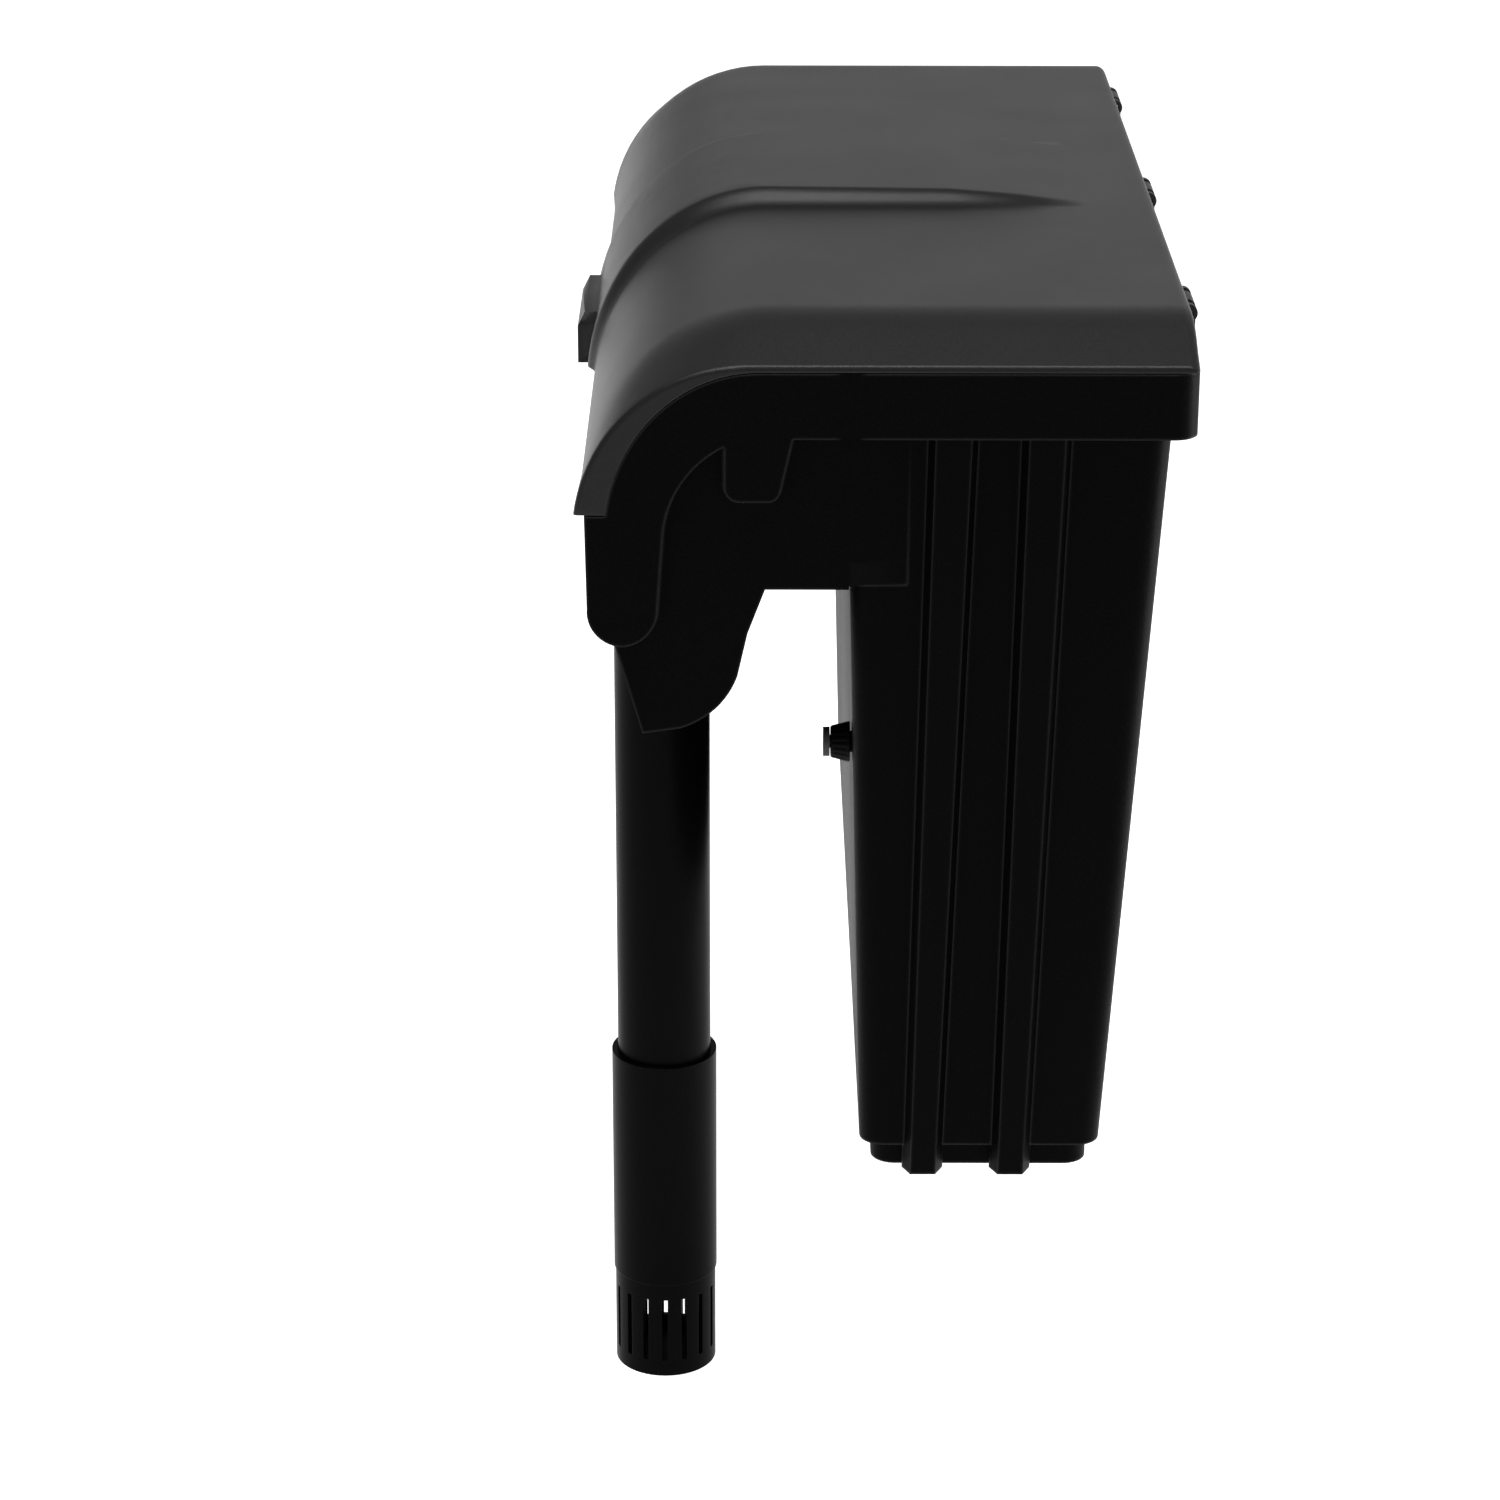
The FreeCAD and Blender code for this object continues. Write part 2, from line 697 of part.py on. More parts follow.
def pipe(radius):
    """The elbow's round body: up from the pump, over the rim and down into the tank."""
    reach = (pump_x - leg_x) / 2
    top = side((pump_x + leg_x) / 2, elbow_z + reach)
    start = pump_floor_z + floor_thickness + volute_height
    path = Part.Wire([line(at_pump(start), at_pump(elbow_z)), arc(at_pump(elbow_z), top, at_leg(elbow_z)),
                      line(at_leg(elbow_z), at_leg(elbow_foot_z))])
    ring = Part.Wire(Part.Circle(at_pump(start), Vector(0, 0, 1), radius).toShape())
    return path.makePipeShell([ring], True, False)


def make_elbow():
    return pipe(tube_r).cut(pipe(tube_r - tube_wall))


def make_intake_seal():
    return tube(tube_r, tube_r - tube_wall, at_leg(elbow_foot_z - seal_thickness), at_leg(elbow_foot_z))


def make_intake_tube():
    shoulder = elbow_foot_z - seal_thickness
    socket = tube_r + socket_play
    body = tube(tube_r, tube_r - tube_wall, at_leg(intake_foot_z), at_leg(shoulder))
    collar = tube(socket + socket_wall, socket, at_leg(shoulder), at_leg(shoulder + tube_r))
    shelf = tube(socket + socket_wall, tube_r - tube_wall, at_leg(shoulder - socket_wall), at_leg(shoulder))
    return body.fuse([collar, shelf]).removeSplitter()


def make_sleeve():
    bore = tube_r + slide_play
    return tube(bore + sleeve_wall, bore, at_leg(sleeve_foot_z), at_leg(sleeve_top_z))


def make_strainer():
    outer = tube_r + slide_play + sleeve_wall - strainer_step
    body = tube(outer, outer - sleeve_wall, at_leg(strainer_foot_z), at_leg(sleeve_foot_z))
    body = body.fuse(cylinder(outer, at_leg(strainer_foot_z), at_leg(strainer_foot_z + sleeve_wall)))
    slot = box(0, outer + 5, -strainer_slot_width / 2, strainer_slot_width / 2,
               strainer_foot_z + 3 * sleeve_wall, sleeve_foot_z - 3 * sleeve_wall)
    slots = []
    for k in range(strainer_slots):
        cut = slot.copy()
        cut.rotate(Vector(0, 0, 0), Vector(0, 0, 1), 360.0 * k / strainer_slots)
        cut.translate(at_leg(0))
        slots.append(cut)
    return body.cut(slots)


# ---- pump ---------------------------------------------------------------------------------------

housing_top_z = pump_floor_z - gasket_thickness
housing_foot_z = plinth_foot_z + cap_rise + base_cap
well_floor_z = housing_top_z - well_depth + well_wall
cover_foot_z = pump_floor_z + floor_thickness
cover_top_z = cover_foot_z + volute_height


def make_pump_housing():
    body = box(pump_x - pump_half_x, pump_x + pump_half_x, -pump_half_y, pump_half_y,
               housing_foot_z, housing_top_z)
    body = body.cut(box(pump_x - pump_half_x + pump_wall, pump_x + pump_half_x - pump_wall,
                        -pump_half_y + pump_wall, pump_half_y - pump_wall,
                        housing_foot_z, housing_top_z - pump_wall))
    outer = well_r + well_wall
    body = body.fuse(cylinder(outer, at_pump(housing_top_z - well_depth), at_pump(housing_top_z)))
    for x, y in screw_places():
        body = body.fuse(cylinder(2 * screw_r, Vector(x, y, housing_foot_z), Vector(x, y, housing_top_z - 1)))
        body = body.cut(cylinder(screw_r, Vector(x, y, housing_foot_z - 1),
                                 Vector(x, y, housing_foot_z + screw_length + screw_tip_gap)))
    body = body.cut(cylinder(well_r, at_pump(well_floor_z), at_pump(housing_top_z + 1)))
    return body.removeSplitter()


def screw_places():
    x, y = pump_half_x - screw_inset, pump_half_y - screw_inset
    return [(pump_x + i * x, j * y) for i in (-1, 1) for j in (-1, 1)]


def make_base_cap():
    body = box(pump_x - pump_half_x, pump_x + pump_half_x, -pump_half_y, pump_half_y,
               housing_foot_z - base_cap, housing_foot_z)
    for x, y in screw_places():
        body = body.cut(cylinder(screw_r, Vector(x, y, housing_foot_z - TALL), Vector(x, y, housing_foot_z)))
    return body.cut(cylinder(gland_r, gland_axis(housing_foot_z - TALL), gland_axis(housing_foot_z)))


def make_pump_screws():
    screws = []
    for x, y in screw_places():
        cap_foot = housing_foot_z - base_cap
        shank = cylinder(screw_r, Vector(x, y, cap_foot), Vector(x, y, housing_foot_z + screw_length))
        head = cylinder(2 * screw_r, Vector(x, y, cap_foot - screw_head), Vector(x, y, cap_foot))
        screws.append(shank.fuse(head))
    return screws


def make_gasket():
    bore = well_r + well_wall + gasket_clear
    return tube(bore + gasket_width, bore, at_pump(housing_top_z), at_pump(pump_floor_z))


stator_top_z = housing_top_z - stator_drop
stator_foot_z = stator_top_z - stator_height
window_x = pump_x + window_start
limb_x = window_x + window_width
stator_end_x = limb_x + limb_width


def make_stator():
    body = box(pump_x - stator_reach, stator_end_x, -stator_half_y, stator_half_y,
               stator_foot_z, stator_top_z)
    body = body.cut(cylinder(well_r + well_wall + pump_gap, at_pump(-TALL), at_pump(0)))
    window = coil_half_y + pump_gap
    return body.cut(box(window_x, limb_x, -window, window, -TALL, 0))


def make_coil():
    body = box(window_x + pump_gap, stator_end_x + coil_behind, -coil_half_y, coil_half_y,
               stator_foot_z - coil_above, stator_top_z + coil_above)
    return body.cut(box(limb_x - pump_gap, stator_end_x + pump_gap, -coil_half_y - 1, coil_half_y + 1,
                        stator_foot_z - pump_gap, stator_top_z + pump_gap))


def gland_axis(z):
    return Vector(pump_x + gland_offset_x, 0, z)


def make_gland():
    top, foot = housing_foot_z, housing_foot_z - base_cap - gland_foot
    return tube(gland_r, gland_r - gland_wall, gland_axis(foot), gland_axis(top))


def make_shaft():
    return cylinder(shaft_r, at_pump(well_floor_z), at_pump(cover_top_z - bush_drop))


def make_bushes():
    feet = (well_floor_z, cover_top_z - bush_height - bush_drop)
    return [tube(bush_r, shaft_r, at_pump(z), at_pump(z + bush_height)) for z in feet]


def make_cover():
    """The volute: a cup over the impeller, with the elbow's socket above and an outlet at the rear."""
    inner = volute_r - pump_wall
    body = tube(volute_r, inner, at_pump(cover_foot_z), at_pump(cover_top_z))
    shelf_z = cover_top_z - pump_wall
    body = body.fuse(tube(volute_r, tube_r - tube_wall - outlet_sill, at_pump(shelf_z), at_pump(cover_top_z)))
    socket = tube_r + socket_play
    body = body.fuse(tube(socket + socket_wall, socket, at_pump(shelf_z),
                          at_pump(cover_top_z + cover_socket_height)))
    body = body.cut(box(pump_x, pump_x + TALL, -outlet_half, outlet_half, cover_foot_z + outlet_sill,
                        shelf_z - outlet_sill / 2))
    z0, z1 = cover_top_z - bush_height - bush_drop, cover_top_z - bush_drop
    body = body.fuse(tube(bush_r + spider_wall, bush_r, at_pump(z0), at_pump(z1)))
    for k in range(spider_arms):
        arm = box(bush_r + spider_wall / 2, tube_r - tube_wall - 1, -spider_arm_half, spider_arm_half,
                  z0 + spider_wall, z1)
        arm.rotate(Vector(0, 0, 0), Vector(0, 0, 1), 360.0 * (k + 0.5) / spider_arms)
        arm.translate(at_pump(0))
        body = body.fuse(arm)
    return body.removeSplitter()


rotor_foot_z = well_floor_z + bush_height + rotor_lift
impeller_foot_z = cover_foot_z + impeller_lift
hub_foot_z = impeller_foot_z - impeller_hub_below


def make_rotor():
    return tube(rotor_r, shaft_r + shaft_play, at_pump(rotor_foot_z), at_pump(hub_foot_z))


def make_impeller():
    bore = shaft_r + shaft_play
    top = impeller_foot_z + vane_top
    hub = tube(impeller_hub_r, bore, at_pump(hub_foot_z), at_pump(top))
    disc = tube(vane_r, bore, at_pump(impeller_foot_z), at_pump(impeller_foot_z + vane_thickness))
    body = hub.fuse(disc)
    for k in range(vane_count):
        vane = box(impeller_hub_r - 1, vane_r, -vane_thickness / 2, vane_thickness / 2,
                   impeller_foot_z + vane_thickness / 2, top)
        vane.rotate(Vector(0, 0, 0), Vector(0, 0, 1), 360.0 * k / vane_count)
        vane.translate(at_pump(0))
        body = body.fuse(vane)
    return body.removeSplitter()


# ---- cartridges and baskets ---------------------------------------------------------------------

def insert_box(x, depth, inset_y, inset_z):
    """The upright space between the near divider and the near end wall."""
    y0 = -(case_half - wall - end_draft) + insert_gap + inset_y
    y1 = -(divider_y + wall) - insert_gap - inset_y
    return box(x, x + depth, y0, y1, inner_floor_z + insert_gap + inset_z, insert_top_z - inset_z)


def make_cartridge_frame():
    body = insert_box(cartridge_x, cartridge_depth, 0, 0)
    body = body.cut(insert_box(cartridge_x - 1, cartridge_depth + 2, frame_border, frame_border))
    bounds = body.BoundBox
    middle = (bounds.YMin + bounds.YMax) / 2
    for share in (1 / 3, 2 / 3):
        z = bounds.ZMin + bounds.ZLength * share - frame_bar / 2
        body = body.fuse(box(cartridge_x, cartridge_x + frame_bar_depth, bounds.YMin, bounds.YMax,
                             z, z + frame_bar))
    pull_x = cartridge_x + pull_thickness
    pull = box(pull_x, pull_x + pull_thickness, middle - pull_half, middle + pull_half,
               insert_top_z, insert_top_z + pull_height)
    return body.fuse(pull).removeSplitter()


def make_floss_pad():
    border = frame_border + pad_gap
    depth = cartridge_depth - frame_bar_depth - 2 * pad_gap
    return insert_box(cartridge_x + frame_bar_depth + pad_gap, depth, border, border)


def make_basket():
    body = insert_box(basket_x, basket_depth, 0, 0)
    hollow = insert_box(basket_x + basket_wall, basket_depth - 2 * basket_wall, basket_wall, basket_wall)
    hollow = hollow.fuse(hollow.translated(Vector(0, 0, 3 * basket_wall)))
    body = body.cut(hollow)
    bounds = body.BoundBox
    count = int(bounds.ZLength // basket_pitch) - 2
    for k in range(count):
        z = bounds.ZMin + (k + 1) * basket_pitch
        body = body.cut(box(basket_x - 1, basket_x + basket_depth + 1, bounds.YMin + basket_border,
                            bounds.YMax - basket_border, z, z + basket_pitch / 3))
    return body


# ---- levelling screws ---------------------------------------------------------------------------

def on_level(x):
    return Vector(x, -level_y, level_z)


def make_level_screw():
    base_x = front_wall_x(level_z) - knob_wall_gap
    knob = Part.makeCone(knob_tip_r, knob_base_r, base_x - knob_tip_x, on_level(knob_tip_x), Vector(1, 0, 0))
    tip = on_level(front_wall_x(level_z) + boss_depth - wall - screw_end_gap)
    body = knob.fuse(cylinder(thread_r, on_level(knob_tip_x), tip))
    return body.cut(cylinder(axle_r + axle_play, on_level(knob_tip_x - 1),
                             on_level(knob_tip_x + pad_stem + thread_gap)))


def make_level_pad():
    disc = cylinder(knob_tip_r - pad_inset, on_level(level_tip_x), on_level(knob_tip_x - thread_gap))
    return disc.fuse(cylinder(axle_r, on_level(level_tip_x), on_level(knob_tip_x + pad_stem)))


# ---- write the pieces ---------------------------------------------------------------------------

def save(name, shape):
    solids = shape if isinstance(shape, list) else [shape]
    solids = [s for piece in solids for s in piece.Solids]
    for s in solids:
        if not s.isValid() or s.Volume <= 0:
            print("NOT VALID", name)
    out = solids[0] if len(solids) == 1 else Part.makeCompound(solids)
    out.exportStep("parts/" + name + ".step")
    b = out.BoundBox
    print("%-22s %2d solids %9.1f mm3  x %7.1f %7.1f  y %7.1f %7.1f  z %7.1f %7.1f" % (
        name, len(solids), out.Volume, b.XMin, b.XMax, b.YMin, b.YMax, b.ZMin, b.ZMax))


def save_pair(name, make):
    near = make()
    save(name + "_near", near)
    if isinstance(near, list):
        save(name + "_far", [mirrored(piece) for piece in near])
    else:
        save(name + "_far", mirrored(near))


def main():
    os.makedirs("parts", exist_ok=True)
    save("filter_case", make_case())
    save_pair("divider", make_divider)
    save_pair("end_rails", make_end_rails)
    save("pump_bay", make_pump_bay())
    save_pair("spillway", make_spillway)
    save("lid", make_lid())
    save("hinge_pins", make_hinge_pins())
    save_pair("wheel_core", make_wheel_core)
    save_pair("wheel_media", make_wheel_media)
    save("wheel_bearings", make_bearings())
    save("intake_elbow", make_elbow())
    save("intake_seal", make_intake_seal())
    save("intake_tube", make_intake_tube())
    save("intake_sleeve", make_sleeve())
    save("intake_strainer", make_strainer())
    save("pump_housing", make_pump_housing())
    save("pump_base_cap", make_base_cap())
    save("pump_screws", make_pump_screws())
    save("pump_gasket", make_gasket())
    save("stator", make_stator())
    save("coil", make_coil())
    save("cable_gland", make_gland())
    save("impeller_shaft", make_shaft())
    save("shaft_bushes", make_bushes())
    save("impeller_cover", make_cover())
    save("rotor_magnet", make_rotor())
    save("impeller", make_impeller())
    save_pair("cartridge_frame", make_cartridge_frame)
    save_pair("floss_pad", make_floss_pad)
    save_pair("media_basket", make_basket)
    save_pair("level_screw", make_level_screw)
    save_pair("level_pad", make_level_pad)


main()
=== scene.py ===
# %% [markdown]
# # A hang on back aquarium filter
# The design comes in as a fixed frame: every moulded part already has its true size and place.
# What is added here is what a drawing can't hold: the grain of the mouldings, the soft sweep of
# the lid, pleated cloth, felted floss, screw threads and windings. All lengths are in metres.

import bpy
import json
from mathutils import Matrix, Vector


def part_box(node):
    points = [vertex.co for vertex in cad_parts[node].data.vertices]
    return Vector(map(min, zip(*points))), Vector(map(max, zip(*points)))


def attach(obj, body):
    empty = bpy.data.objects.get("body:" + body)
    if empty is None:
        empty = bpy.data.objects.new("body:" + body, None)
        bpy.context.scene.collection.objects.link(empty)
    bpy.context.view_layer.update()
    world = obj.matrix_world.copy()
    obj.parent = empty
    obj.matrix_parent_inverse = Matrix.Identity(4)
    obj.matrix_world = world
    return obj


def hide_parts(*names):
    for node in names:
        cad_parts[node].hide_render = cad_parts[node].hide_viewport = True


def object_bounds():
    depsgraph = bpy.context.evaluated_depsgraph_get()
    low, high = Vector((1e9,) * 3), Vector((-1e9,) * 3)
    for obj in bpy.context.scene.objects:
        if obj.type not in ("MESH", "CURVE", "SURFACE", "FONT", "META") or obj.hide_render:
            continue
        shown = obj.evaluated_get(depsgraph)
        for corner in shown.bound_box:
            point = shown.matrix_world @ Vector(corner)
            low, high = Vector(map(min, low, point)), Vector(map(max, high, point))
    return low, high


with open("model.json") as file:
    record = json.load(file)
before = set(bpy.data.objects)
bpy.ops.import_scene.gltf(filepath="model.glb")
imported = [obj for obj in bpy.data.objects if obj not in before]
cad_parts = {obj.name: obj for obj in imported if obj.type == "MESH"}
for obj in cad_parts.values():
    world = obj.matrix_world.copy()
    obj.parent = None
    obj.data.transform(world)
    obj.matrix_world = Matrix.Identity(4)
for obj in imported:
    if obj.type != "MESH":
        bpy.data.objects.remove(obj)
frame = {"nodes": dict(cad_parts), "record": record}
design_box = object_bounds()

# %% Tools
import json
import math

import bmesh
import bpy
import numpy as np
from mathutils import Matrix, Vector

MM = 0.001
TURN = 2 * math.pi


def centre(node):
    """Middle of a part's box at rest."""
    low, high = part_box(node)
    return (np.array(low) + np.array(high)) / 2


# %% [markdown]
# ## The camera
# The filter is seen from one end and a little above, with a long lens, so that its end wall is
# nearly square to the eye and its length is strongly shortened. The lens is given by its focal
# length in picture widths. The small roll is kept too, because a level picture would look wrong
# beside the long straight edge of the lid.

# %% Camera
FOCAL_WIDTHS = 2.797
CAMERA_AT = Vector((-0.01915, -1.64335, 0.4933))
CAMERA_TILT = math.radians(21.44)
CAMERA_ROLL = math.radians(-0.11)
SENSOR = 36.0

eye = bpy.data.cameras.new("camera")
eye.sensor_width = SENSOR
eye.lens = FOCAL_WIDTHS * SENSOR
eye.clip_end = 20
camera = bpy.data.objects.new("camera", eye)
camera.matrix_world = (Matrix.Translation(CAMERA_AT)
                       @ Matrix.Rotation(math.pi / 2 - CAMERA_TILT, 4, "X")
                       @ Matrix.Rotation(-CAMERA_ROLL, 4, "Z"))
bpy.context.scene.collection.objects.link(camera)
bpy.context.scene.camera = camera
print("lens", round(eye.lens, 1), "mm")

# %% [markdown]
# ## Floor and light
# A white floor lies under the strainer, lit evenly so that it reads as plain paper. It lies low
# enough for the intake's extension to slide right down without touching it.
#
# The light on the filter is a long narrow source overhead, a little towards the eye. The flank of
# the lid's raised band catches it, and the end wall stays nearly black. A pale panel far behind
# gives the flat of the lid its sheen. A narrow strip low on the right draws thin lines down the
# rounded edges that face it.

# %% Floor and light
FLOOR_GAP = 0.034
WHITE = (1.0, 1.0, 1.0, 1.0)
SURROUND_LEVEL = 0.36


def stage_floor(size=30.0, glow=0.8):
    """A flat white square, one face, under the lowest point. It glows, as a lightbox does."""
    z = design_box[0][2] - FLOOR_GAP
    half = size / 2
    mesh = bpy.data.meshes.new("floor")
    corners = [(-half, -half, z), (half, -half, z), (half, half, z), (-half, half, z)]
    mesh.from_pydata(corners, [], [(0, 1, 2, 3)])
    paper = bpy.data.materials.new("paper")
    paper.use_nodes = True
    shader = paper.node_tree.nodes["Principled BSDF"]
    for socket, value in {"Base Color": (0.86, 0.86, 0.86, 1), "Roughness": 1.0,
                          "Specular IOR Level": 0.0, "Emission Color": WHITE,
                          "Emission Strength": glow}.items():
        shader.inputs[socket].default_value = value
    mesh.materials.append(paper)
    floor = bpy.data.objects.new("floor", mesh)
    bpy.context.scene.collection.objects.link(floor)


def area_light(name, at, aim, size, watts):
    """A rectangular soft light at one point, turned towards another."""
    lamp = bpy.data.lights.new(name, "AREA")
    lamp.shape = "RECTANGLE"
    lamp.size, lamp.size_y = size
    lamp.energy = watts
    obj = bpy.data.objects.new(name, lamp)
    direction = Vector(aim) - Vector(at)
    obj.matrix_world = Matrix.Translation(at) @ direction.to_track_quat("-Z", "Y").to_matrix().to_4x4()
    bpy.context.scene.collection.objects.link(obj)


stage_floor()
area_light("overhead", (0.05, -0.42, 1.9), (0.03, -0.05, 0.05), (1.4, 0.3), 48)
area_light("back_panel", (0.4, 4.2, 1.3), (0.05, 0.0, 0.05), (3.0, 1.6), 5)
area_light("strip_right", (1.25, 0.0, -0.45), (0.1, -0.15, -0.15), (0.35, 1.3), 26)

surroundings = bpy.data.worlds.new("surroundings")
surroundings.use_nodes = True
background = surroundings.node_tree.nodes["Background"]
background.inputs["Color"].default_value = WHITE
background.inputs["Strength"].default_value = SURROUND_LEVEL
bpy.context.scene.world = surroundings
bpy.context.scene.view_settings.view_transform = "Standard"
print("floor", round(FLOOR_GAP / MM), "mm under the strainer, with", len(bpy.data.lights), "lights")

# %% [markdown]
# ## Writing materials as sums
# A material is a graph of nodes, but most of it is arithmetic. `Value` wraps one socket so that
# `0.4 + 0.2 * grain` adds the Math nodes by itself. `Finish` is one material: its `node` method
# places any other kind of node from its settings and what is plugged into it.

# %% Material tools
class Value:
    """One output socket of a material, on which sums are written as in Python."""

    def __init__(self, finish, socket):
        self.finish, self.socket = finish, socket

    def sum(self, operation, a, b):
        return self.finish.node("ShaderNodeMath", {"operation": operation}, {0: a, 1: b})

    def __add__(self, other):
        return self.sum("ADD", self, other)

    def __sub__(self, other):
        return self.sum("SUBTRACT", self, other)

    def __mul__(self, other):
        return self.sum("MULTIPLY", self, other)

    def __rsub__(self, other):
        return self.sum("SUBTRACT", other, self)

    __radd__ = __add__
    __rmul__ = __mul__


class Finish:
    """One material, built round a Principled shader whose fixed values are set on its sockets."""

    def __init__(self, name, **fixed):
        self.material = bpy.data.materials.new(name)
        self.material.use_nodes = True
        self.tree = self.material.node_tree
        self.shader = self.tree.nodes["Principled BSDF"]
        for socket, value in fixed.items():
            self.shader.inputs[socket.replace("_", " ")].default_value = value
        self.place = self.node("ShaderNodeTexCoord", {}, {}, out="Object")

    def node(self, kind, settings, links, out=0):
        """Adds a node: its settings first, then a value or a link for each socket."""
        node = self.tree.nodes.new(kind)
        for name, value in settings.items():
            if name == "stops":
                ramp = node.color_ramp.elements
                for i, (at, colour) in enumerate(value):
                    stop = ramp[i] if i < 2 else ramp.new(at)
                    stop.position, stop.color = at, colour
            else:
                setattr(node, name, value)
        for name, value in links.items():
            self.plug(node.inputs[name], value)
        return Value(self, node.outputs[out])

    def plug(self, socket, value):
        if isinstance(value, Value):
            self.tree.links.new(value.socket, socket)
        else:
            socket.default_value = value

    def set(self, name, value):
        self.plug(self.shader.inputs[name], value)

    def noise(self, per_metre, detail=2.0, place=None):
        """Soft random grain from 0 to 1, with about per_metre grains in a metre."""
        return self.node("ShaderNodeTexNoise", {}, {"Vector": place or self.place, "Scale": per_metre,
                                                     "Detail": detail})

    def stretched(self, x, y, z):
        """Object coordinates scaled along each axis."""
        return self.node("ShaderNodeMapping", {}, {"Vector": self.place, "Scale": (x, y, z)})

    def axis(self, name):
        return self.node("ShaderNodeSeparateXYZ", {}, {"Vector": self.place}, out=name)

    def between(self, value, low, high):
        """0 below low, 1 above high, straight in between."""
        return self.node("ShaderNodeMapRange", {}, {"Value": value, "From Min": low, "From Max": high})

    def mix(self, factor, a, b, kind="RGBA"):
        """Colour, or with kind "VECTOR" direction, a where the factor is 0 and b where it is 1."""
        first, out = {"RGBA": (6, 2), "VECTOR": (4, 1)}[kind]
        node = self.tree.nodes.new("ShaderNodeMix")
        node.data_type = kind
        self.plug(node.inputs[0], factor)
        self.plug(node.inputs[first], a)
        self.plug(node.inputs[first + 1], b)
        return Value(self, node.outputs[out])

    def rounded(self, radius):
        """The surface's direction with every edge rounded to a radius in metres."""
        return self.node("ShaderNodeBevel", {"samples": 6}, {"Radius": radius}, out="Normal")

    def bump(self, height, depth, edge_radius=0.0005, normal=None):
        """Presses a height map into the surface, whose edges are rounded first. Both are in metres."""
        self.set("Normal", self.node("ShaderNodeBump", {}, {
            "Height": height, "Distance": depth, "Normal": normal or self.rounded(edge_radius)},
            out="Normal"))

    def off_plane(self, x, reach):
        """0 on the upright plane at x and 1 from reach metres away on either side of it."""
        gap = self.node("ShaderNodeMath", {"operation": "ABSOLUTE"}, {0: self.axis("X") - x})
        return self.between(gap, reach * 0.5, reach)

    # An edge mask: it drives the painted highlight on edges and their polish.
    def edge_highlight_and_polish(self, edge_radius):
        """0 on flats, rising to 1 where the rounded direction leaves the flat one, as at an edge."""
        flat = self.node("ShaderNodeNewGeometry", {}, {}, out="True Normal")
        match = self.node("ShaderNodeVectorMath", {"operation": "DOT_PRODUCT"},
                          {0: self.rounded(edge_radius), 1: flat}, out="Value")
        return self.between(match, 0.98, 0.80)


def grey(level, tint=(1.0, 1.0, 1.02)):
    """A colour of one level, leaning slightly to the tint."""
    return (level * tint[0], level * tint[1], level * tint[2], 1.0)


# %% [markdown]
# ## Moulded plastic
# The case and lid are injection moulded in black plastic. The mould is spark eroded, which leaves
# a fine pebbled grain that scatters light. Two sizes of noise make the grain: pebbles about half a
# millimetre across, and a slow unevenness in gloss over several centimetres. The lid's mould is
# finer, and it sits under the light, so it reads as charcoal where the case reads as black.
#
# The case and its two spillways are one moulding, though they come as separate parts. So no edge is
# rounded, polished or given its painted highlight on the plane where they meet, and no seam shows there.

# %% Moulded plastic
SEAM_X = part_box("spillway_near")[1][0]
SEAM_REACH = 0.006


def moulded(name, level, rough, grains, depth, edge_radius=0.0006, gloss=0.5, polish=0.0,
            tint=(1.0, 1.0, 1.02), seamless=False):
    """Black or coloured plastic from a grained mould. Its edges are painted a little paler, as a painted
    highlight, and polish says how much clearer they shine."""
    f = Finish(name, Specular_IOR_Level=gloss, Coat_Roughness=0.32)
    pebbles = f.noise(grains, 3.0)
    slow = f.noise(22.0, 2.0)
    fine = f.noise(grains * 2.7, 1.0)
    edge, normal = f.edge_highlight_and_polish(edge_radius), None
    if seamless:
        clear = f.off_plane(SEAM_X, SEAM_REACH)
        flat = f.node("ShaderNodeNewGeometry", {}, {}, out="True Normal")
        edge, normal = edge * clear, f.mix(clear, flat, f.rounded(edge_radius), "VECTOR")
    shade = f.mix(f.between(pebbles, 0.35, 0.65), grey(level * 0.78, tint), grey(level * 1.2, tint))
    # Painted highlight: edges are mixed a third of the way towards a colour 2.2 times as pale.
    f.set("Base Color", f.mix(edge * 0.35, shade, grey(level * 2.2, tint)))
    f.set("Roughness", rough + 0.10 * pebbles + 0.08 * slow - 0.05 * edge - 0.09)
    f.set("Coat Weight", edge * polish)
    f.bump(pebbles + 0.4 * fine, depth, edge_radius, normal)
    return f.material


case_plastic = moulded("case_plastic", 0.0016, 0.40, 1500.0, 0.00012, edge_radius=0.0019, gloss=0.016,
                       polish=0.30, seamless=True)
lid_plastic = moulded("lid_plastic", 0.0085, 0.35, 2300.0, 0.00007, edge_radius=0.0009, gloss=0.14)
intake_plastic = moulded("intake_plastic", 0.0016, 0.34, 1100.0, 0.00003, gloss=0.022, polish=0.05)
pump_case_plastic = moulded("pump_case_plastic", 0.014, 0.44, 1700.0, 0.00007)
pump_plastic = moulded("pump_plastic", 0.022, 0.30, 900.0, 0.00002)
wheel_plastic = moulded("wheel_plastic", 0.016, 0.38, 1200.0, 0.00003)
knob_plastic = moulded("knob_plastic", 0.0016, 0.44, 1800.0, 0.00006, gloss=0.03, polish=0.10)
basket_plastic = moulded("basket_plastic", 0.028, 0.40, 1300.0, 0.00004)
cartridge_plastic = moulded("cartridge_plastic", 0.11, 0.38, 1200.0, 0.00004, tint=(0.25, 0.75, 1.9))
print("moulded finishes ready")

# %% [markdown]
# ## The other materials
# Each is built from what the real one shows. Spun polyester is a mat of crossing fibres, so it
# takes two stretched noises at different turns. Needled floss is loftier and paler. A stator is a
# stack of stamped sheets, so fine dark lines run level round it. Enamelled copper shows each turn
# of its wire. Rubber is matt with a faint bloom, and the magnet is a dark sintered ceramic.

